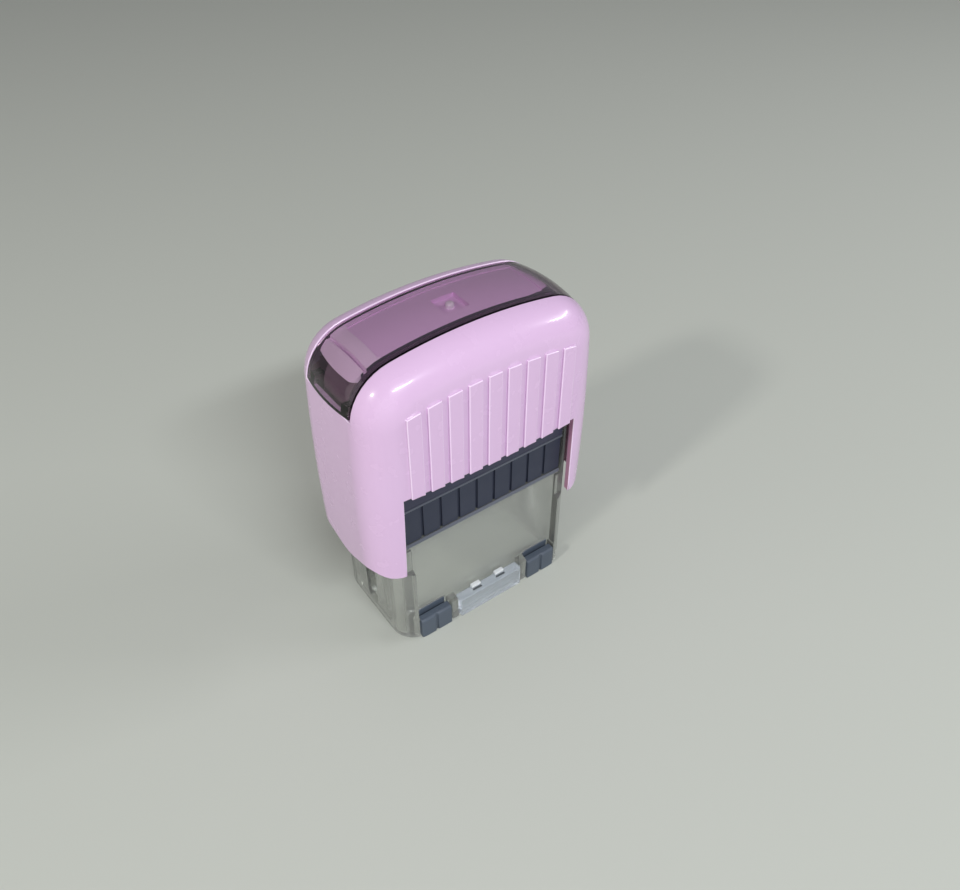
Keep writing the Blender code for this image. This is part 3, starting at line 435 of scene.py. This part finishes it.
def shape_cap(shape):
    """Finish the cap's skirt and paint shade on its inside and the cut-out's sides in a deeper
    pink.
    """
    join_rib_ends(shape)
    wave_skirt(shape)
    for face in shape.faces:
        middle = face.calc_center_median()
        within = (abs(middle.x) < INNER_X and abs(middle.y) < INNER_Y and middle.z < INNER_TOP
                  and face.normal.xy.dot(middle.xy) < 0)
        beside = (abs(face.normal.x) > SIDEWAYS
                  and abs(abs(middle.x) - SKIRT_HALF_WIDTH) < NOTCH_REACH
                  and middle.z < SKIRT_Z + SKIRT_CROWN + NOTCH_REACH)
        if within or beside:
            face.material_index = CAP_INNER_SHADE_SLOT


def paint_leg_shade(shape):
    """Paint the yoke's two legs a less dark mauve than its top, both painted shade."""
    for face in shape.faces:
        if face.calc_center_median().z < LEG_TOP:
            face.material_index = YOKE_LEG_SHADE_SLOT


def round_nub(shape):
    """Round the seat's nub to a dome."""
    top = max(vert.co.z for vert in shape.verts if vert.co.xy.length < NUB_RADIUS)
    rim = [edge for edge in shape.edges
           if all(vert.co.xy.length < NUB_RADIUS and vert.co.z > top - LEVEL_ROOM
                  for vert in edge.verts)]
    bmesh.ops.bevel(shape, geom=rim, offset=NUB_ROUND, offset_type="OFFSET", affect="EDGES",
                    segments=NUB_SEGMENTS, profile=0.5, material=-1)


def shape_seat(shape):
    """Dome the nub and paint a highlight on it, shade on the front right corner, light on the left
    end.
    """
    round_nub(shape)
    lines = []
    for step in range(SEAT_SHADE_STEPS + 1):
        turn = -math.pi / 2 * step / SEAT_SHADE_STEPS
        x, y = math.cos(turn), math.sin(turn)
        spot = SEAT_SHADE_MIDDLE + Vector((SEAT_SHADE_REACH.x * x, SEAT_SHADE_REACH.y * y, 0))
        away = Vector((x / SEAT_SHADE_REACH.x, y / SEAT_SHADE_REACH.y, 0)).normalized()
        bmesh.ops.bisect_plane(shape, geom=shape.verts[:] + shape.edges[:] + shape.faces[:],
                               dist=CUT_ROOM, plane_co=spot, plane_no=away)
        lines.append((spot, away))
    for face in shape.faces:
        middle = face.calc_center_median()
        if all(vert.co.xy.length < NUB_RADIUS for vert in face.verts):
            face.material_index = NUB_SLOT
        elif any((middle - spot).dot(away) > 0 for spot, away in lines):
            face.material_index = SEAT_CORNER_SHADE_SLOT
        elif middle.x < -SEAT_END_X:
            face.material_index = SEAT_END_LIGHT_SLOT


def make_coil(material):
    """The return spring: a round wire wound up from the deck to the yoke's cup."""
    low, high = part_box("return_spring")
    steps = COIL_TURNS * COIL_STEPS
    rise = high.z - low.z - 2 * WIRE_RADIUS
    shape = bmesh.new()
    bmesh.ops.create_circle(shape, segments=WIRE_SIDES, radius=WIRE_RADIUS)
    bmesh.ops.rotate(shape, verts=shape.verts, matrix=Matrix.Rotation(math.pi / 2, 3, "X"))
    bmesh.ops.translate(shape, verts=shape.verts, vec=(COIL_RADIUS, 0, low.z + WIRE_RADIUS))
    bmesh.ops.spin(shape, geom=shape.verts[:] + shape.edges[:], axis=(0, 0, 1), cent=(0, 0, 0),
                   dvec=(0, 0, rise / steps), angle=math.tau * COIL_TURNS, steps=steps)
    bmesh.ops.holes_fill(shape, edges=shape.edges, sides=WIRE_SIDES)
    bmesh.ops.recalc_face_normals(shape, faces=shape.faces)
    coil = trim("steel_coil", shape, material, "base")
    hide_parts("return_spring")
    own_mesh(coil)


def make_padding(node, name, material, body, cuts, pull):
    """A soft block in its solid's room: faces crowned, sides pulled in between the corners."""
    low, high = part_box(node)
    middle = (low + high) / 2
    half = (high - low) / 2
    shape = bar_shape(*zip(low, high))
    bmesh.ops.subdivide_edges(shape, edges=shape.edges, cuts=cuts, use_grid_fill=True)
    for vert in shape.verts:
        x, y, z = [(vert.co[axis] - middle[axis]) / half[axis] for axis in range(3)]
        vert.co.x -= x * pull * (1 - y * y) + x * pull * z * z
        vert.co.y -= y * pull * (1 - x * x) + y * pull * z * z
        vert.co.z -= z * pull * (x ** CROWN_POWER + y ** CROWN_POWER) / 2
    bmesh.ops.recalc_face_normals(shape, faces=shape.faces)
    pad = trim(name, shape, material, body)
    rounding = pad.modifiers.new("soft form", "SUBSURF")
    rounding.levels = SOFT_LEVELS
    rounding.render_levels = SOFT_LEVELS
    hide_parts(node)


def make_window_rail(material):
    """The window's thick front rail, which follows the arch and the shoulders under the cap; its
    dark tint is partly painted shade.
    """
    shape = bmesh.new()
    top = CROWN_Z - RAIL_DROP
    corners = ((RAIL_FRONT_Y, top), (RAIL_BACK_Y, top), (RAIL_BACK_Y, top - RAIL_HEIGHT),
               (RAIL_FRONT_Y, top - RAIL_HEIGHT))
    verts = [shape.verts.new((0, y, z)) for y, z in corners]
    loop = [shape.edges.new((first, second)) for first, second in zip(verts, verts[1:] + verts[:1])]
    reach = ARCH_RADIUS - SHOULDER_RADIUS
    arch_turn = math.asin(SHOULDER_X / reach)
    arch_z = CROWN_Z - ARCH_RADIUS
    shoulder_z = arch_z + reach * math.cos(arch_turn)
    swept = bmesh.ops.spin(shape, geom=verts + loop, axis=(0, 1, 0), cent=(0, 0, arch_z),
                           dvec=(0, 0, 0), angle=arch_turn, steps=RAIL_ARCH_STEPS)
    bmesh.ops.spin(shape, geom=swept["geom_last"], axis=(0, 1, 0),
                   cent=(SHOULDER_X, 0, shoulder_z), dvec=(0, 0, 0), angle=RAIL_TURN,
                   steps=RAIL_SHOULDER_STEPS)
    ends = [edge for edge in shape.edges
            if edge.is_boundary and all(vert.co.x > MERGE for vert in edge.verts)]
    bmesh.ops.holes_fill(shape, edges=ends, sides=len(corners))
    bmesh.ops.mirror(shape, geom=shape.verts[:] + shape.edges[:] + shape.faces[:],
                     matrix=Matrix(), merge_dist=MERGE, axis="X")
    bmesh.ops.recalc_face_normals(shape, faces=shape.faces)
    trim("smoky_window_rail", shape, material, "window", MOULDING_EDGE)


def make_base_trim(side, name):
    """Trim of the base's front or back: guard band, ledge and strip with painted highlights, toes,
    catches with a painted glint, slots of painted shade.
    """
    low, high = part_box("ink_cassette")
    face = high.y + TRIM_GAP
    guard_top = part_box("base_frame")[1].z - TRIM_EDGE
    guard_bottom = high.z + GUARD_LEDGE
    strip_top = low.z - TRIM_GAP
    bands = (
        ("slate_guard_", GUARD_THICKNESS, (guard_bottom, guard_top), guard_slate),
        # The ledge's lighter grey is a painted highlight
        ("guard_ledge_", GUARD_THICKNESS + GUARD_PROUD,
         (high.z + TRIM_GAP, guard_bottom - TRIM_GAP), ledge_grey_highlight_paint),
        # The strip is a painted highlight
        ("rail_strip_", STRIP_THICKNESS, (strip_top - STRIP_HEIGHT, strip_top), strip_highlight_paint),
    )
    for kind, thickness, heights, material in bands:
        band = bar_shape((low.x, high.x), (side * face, side * (face + thickness)), heights)
        trim(kind + name, band, material, "base", TRIM_EDGE)
    for hand, hand_name in HANDS:
        place = name + "_" + hand_name
        toe = bar_shape([hand * x for x in TOE_X], [side * y for y in TOE_Y], TOE_Z)
        trim("foot_toe_" + place, toe, foot_slate, "base", TRIM_EDGE)
        catch_x = (hand * CATCH_X - CATCH_HALF_WIDTH, hand * CATCH_X + CATCH_HALF_WIDTH)
        # The catch's white is partly a painted glint
        catch = bar_shape(catch_x, [side * y for y in CATCH_Y], CATCH_Z)
        trim("sill_catch_" + place, catch, catch_white_glint_paint, "base", TRIM_EDGE)
        # A dark bar in the slot: painted shade
        slot = bar_shape(catch_x, [side * y for y in SLOT_Y], SLOT_Z)
        trim("sill_slot_" + place, slot, slot_grey_shade_paint, "base")


# Light and view

def bearing(azimuth, elevation):
    """The direction from the stamp to an azimuth, counted from the front, and an elevation."""
    return Vector((math.sin(azimuth) * math.cos(elevation),
                   -math.cos(azimuth) * math.cos(elevation), math.sin(elevation)))


def aim(holder, target, away, distance):
    """Set an object at a distance from a target and turn it to look back at it."""
    holder.location = target + away * distance
    holder.rotation_euler = away.to_track_quat("Z", "Y").to_euler()


def make_lamp(name, azimuth, elevation, length, height, power, colour):
    """A soft lamp aimed at the stamp."""
    light = bpy.data.lights.new(name, "AREA")
    light.shape = "RECTANGLE"
    light.size = length
    light.size_y = height
    light.energy = power
    light.color = colour
    away = bearing(math.radians(azimuth), math.radians(elevation))
    aim(new_object(name, light), STAMP_MIDDLE, away, LAMP_DISTANCE)


def make_camera():
    """The camera at the photograph's view."""
    lens = bpy.data.cameras.new("photograph view")
    lens.lens = LENS
    lens.sensor_width = SENSOR
    lens.sensor_fit = "HORIZONTAL"
    lens.clip_start = NEAR_CLIP
    camera = new_object("photograph view", lens)
    away = bearing(VIEW_AZIMUTH, VIEW_ELEVATION)
    right = Vector((math.cos(VIEW_AZIMUTH), math.sin(VIEW_AZIMUTH), 0))
    up = away.cross(right)
    aim(camera, STAMP_MIDDLE + right * VIEW_RIGHT + up * VIEW_UP, away, VIEW_DISTANCE)
    bpy.context.scene.camera = camera


def make_stage():
    """Pale floor, soft lamps and an even sky."""
    shape = bmesh.new()
    bmesh.ops.create_grid(shape, x_segments=1, y_segments=1, size=FLOOR_REACH)
    mesh = bpy.data.meshes.new("floor")
    shape.to_mesh(mesh)
    shape.free()
    floor = new_object("floor", mesh)
    material, _, shader, _ = finish_of("pale_floor")
    shader.inputs["Base Color"].default_value = FLOOR_COLOUR
    shader.inputs["Roughness"].default_value = FLOOR_ROUGHNESS
    floor.data.materials.append(material)

    for settings in LAMPS:
        make_lamp(*settings)
    world = bpy.data.worlds.new("soft room")
    world.use_nodes = True
    background = world.node_tree.nodes["Background"]
    background.inputs["Color"].default_value = SKY_COLOUR
    background.inputs["Strength"].default_value = SKY_STRENGTH
    bpy.context.scene.world = world


bpy.context.scene.view_settings.view_transform = "Standard"
make_camera()
make_stage()

pink = moulded("lilac_pink_gloss", light=(0.73, 0.51, 0.755), dark=(0.72, 0.495, 0.74),
               roughness=0.26, coat=0.4, relief=0.003, shine=0.3)
# Lighter pink on the cap's rounded edges: painted edge highlight
pink_edge_highlight_paint = moulded("lilac_pink_edge", light=(0.93, 0.74, 0.96), dark=(0.91, 0.72, 0.94),
                    roughness=0.2, coat=0.4, relief=0.003)
# Near-black on the seat's front right corner: painted shade
seat_corner_shade_paint = moulded("seat_corner_painted_shade", light=(0.12, 0.10, 0.14), dark=(0.10, 0.085, 0.12),
                     roughness=0.4)
# Deeper pink on the cap's inside and the cut-out's sides: painted shade
pink_inner_shade_paint = moulded("inner_pink_painted_shade", light=(0.50, 0.25, 0.38), dark=(0.47, 0.23, 0.36),
                      roughness=0.4)
mauve = moulded("mauve_seat", light=(0.90, 0.62, 0.91), dark=(0.88, 0.60, 0.88), roughness=0.35)
# Paler mauve on the seat's rolled left end: painted light
mauve_end_light_paint = moulded("mauve_seat_end_painted_light", light=(0.95, 0.76, 0.95), dark=(0.94, 0.74, 0.93),
                    roughness=0.35)
# Near-white nub: its gloss is real, its pale colour is a painted highlight
nub_highlight_paint = moulded("nub_painted_highlight", light=(0.97, 0.90, 0.97), dark=(0.97, 0.90, 0.97),
                   roughness=0.12, coat=1.0)
# Near-black mauve on the yoke's top and dark mauve on its legs: painted shade inside the housing
yoke_shade_paint = moulded("yoke_mauve_painted_shade", light=(0.16, 0.10, 0.135), dark=(0.14, 0.085, 0.12),
                      roughness=0.5)
leg_mauve_painted_shade = moulded("leg_mauve_painted_shade", light=(0.30, 0.16, 0.22), dark=(0.27, 0.14, 0.20),
                    roughness=0.5)
slate = moulded("slate_grip", light=(0.026, 0.032, 0.060), dark=(0.021, 0.027, 0.052),
                roughness=0.5)
guard_slate = moulded("slate_guard", light=(0.030, 0.032, 0.066), dark=(0.025, 0.027, 0.058),
                      roughness=0.4)
# Real proud ledge whose lighter grey than the guard is a painted highlight along the grip's top
ledge_grey_highlight_paint = moulded("guard_ledge_grey", light=(0.10, 0.11, 0.14), dark=(0.08, 0.09, 0.12),
                     roughness=0.4)
# Light grey strip under the cassette: painted highlight of the panel's top edge
strip_highlight_paint = moulded("rail_strip_grey", light=(0.12, 0.13, 0.17), dark=(0.10, 0.11, 0.15),
                     roughness=0.3)
foot_slate = moulded("slate_foot", light=(0.085, 0.108, 0.145), dark=(0.07, 0.088, 0.12),
                     roughness=0.5)
dark_plastic = moulded("dark_inner_plastic", light=(0.045, 0.047, 0.055),
                       dark=(0.035, 0.037, 0.045), roughness=0.4)
felt = moulded("inked_felt", light=(0.03, 0.03, 0.07), dark=(0.02, 0.02, 0.05), roughness=0.9,
               drift=900, grain=4000, relief=0.5)
foam = moulded("grey_foam", light=(0.5, 0.5, 0.47), dark=(0.42, 0.42, 0.4), roughness=0.9,
               drift=900, grain=4000, relief=0.5)
plate_rubber = moulded("red_brown_rubber", light=(0.42, 0.13, 0.1), dark=(0.36, 0.1, 0.08),
                       roughness=0.6, relief=0.05)
steel = moulded("spring_wire", light=(0.62, 0.62, 0.64), dark=(0.55, 0.55, 0.57),
                roughness=0.25, metallic=1.0)
# Dark bars under the catches: painted shade of the slots
slot_grey_shade_paint = moulded("sill_slot_grey", light=(0.10, 0.11, 0.12), dark=(0.08, 0.09, 0.10),
                    roughness=0.5)
# Milky white of the catches: partly their own colour, partly a painted glint on their tops
catch_white_glint_paint = moulded("milky_catch_painted_glint", light=(0.85, 0.88, 0.9), dark=(0.8, 0.83, 0.86),
                      roughness=0.3, coat=0.4)
purple_clear = tinted("smoky_purple_window", light=(0.97, 0.95, 0.97), dark=(0.95, 0.93, 0.95),
                      roughness=0.04, tint=(0.48, 0.37, 0.46), density=700)
# Dark purple rail: partly the window's own smoke, partly painted shade of the gap at the seat's
# front
rail_clear_shade_paint = tinted("smoky_purple_rail_painted_shade", light=(0.36, 0.20, 0.38), dark=(0.33, 0.18, 0.35),
                    roughness=0.15, tint=(0.46, 0.22, 0.48), density=800, clear=0.8)
grey_clear = tinted("smoky_grey_base", light=(0.93, 0.94, 0.92), dark=(0.91, 0.92, 0.90),
                    roughness=0.16, tint=(0.5, 0.515, 0.485), density=400, clear=0.88)
sill_clear = tinted("milky_sill", light=(0.74, 0.78, 0.84), dark=(0.71, 0.75, 0.81),
                    roughness=0.2, tint=(0.6, 0.65, 0.7), density=120, clear=0.8)

refined("housing_shell", "pink_cap", [pink, pink_edge_highlight_paint, pink_inner_shade_paint], SHELL_EDGE, shape_cap,
        CAP_EDGE_HIGHLIGHT_SLOT, outward=True)
refined("top_window", "smoky_window", [purple_clear], MOULDING_EDGE)
make_window_rail(rail_clear_shade_paint)
refined("index_seat", "mauve_index_seat", [mauve, nub_highlight_paint, seat_corner_shade_paint, mauve_end_light_paint], SHELL_EDGE,
        shape_seat)
refined("base_frame", "clear_base", [grey_clear], MOULDING_EDGE)
for way, way_name in WAYS:
    refined("sill_" + way_name, "clear_sill_" + way_name, [sill_clear], MOULDING_EDGE)
    for _, hand_name in HANDS:
        foot = "foot_" + way_name + "_" + hand_name
        refined(foot, "rubber_" + foot, [foot_slate], STURDY_EDGE)
    make_base_trim(way, way_name)
refined("ink_cassette", "grooved_cassette", [slate], CASSETTE_EDGE)
make_padding("ink_pad", "inked_pad", felt, "base", PAD_CUTS, PAD_PULL)
make_coil(steel)
refined("yoke", "inner_yoke", [yoke_shade_paint, leg_mauve_painted_shade], STURDY_EDGE, paint_leg_shade)
for _, hand_name in HANDS:
    refined("axle_pin_" + hand_name, "axle_" + hand_name, [dark_plastic], STURDY_EDGE)
refined("platen_carrier", "turning_carrier", [dark_plastic], MOULDING_EDGE)
make_padding("adhesive_foam", "foam_layer", foam, "platen", FOAM_CUTS, FOAM_PULL)
refined("text_plate", "blank_text_plate", [plate_rubber], PLATE_EDGE)
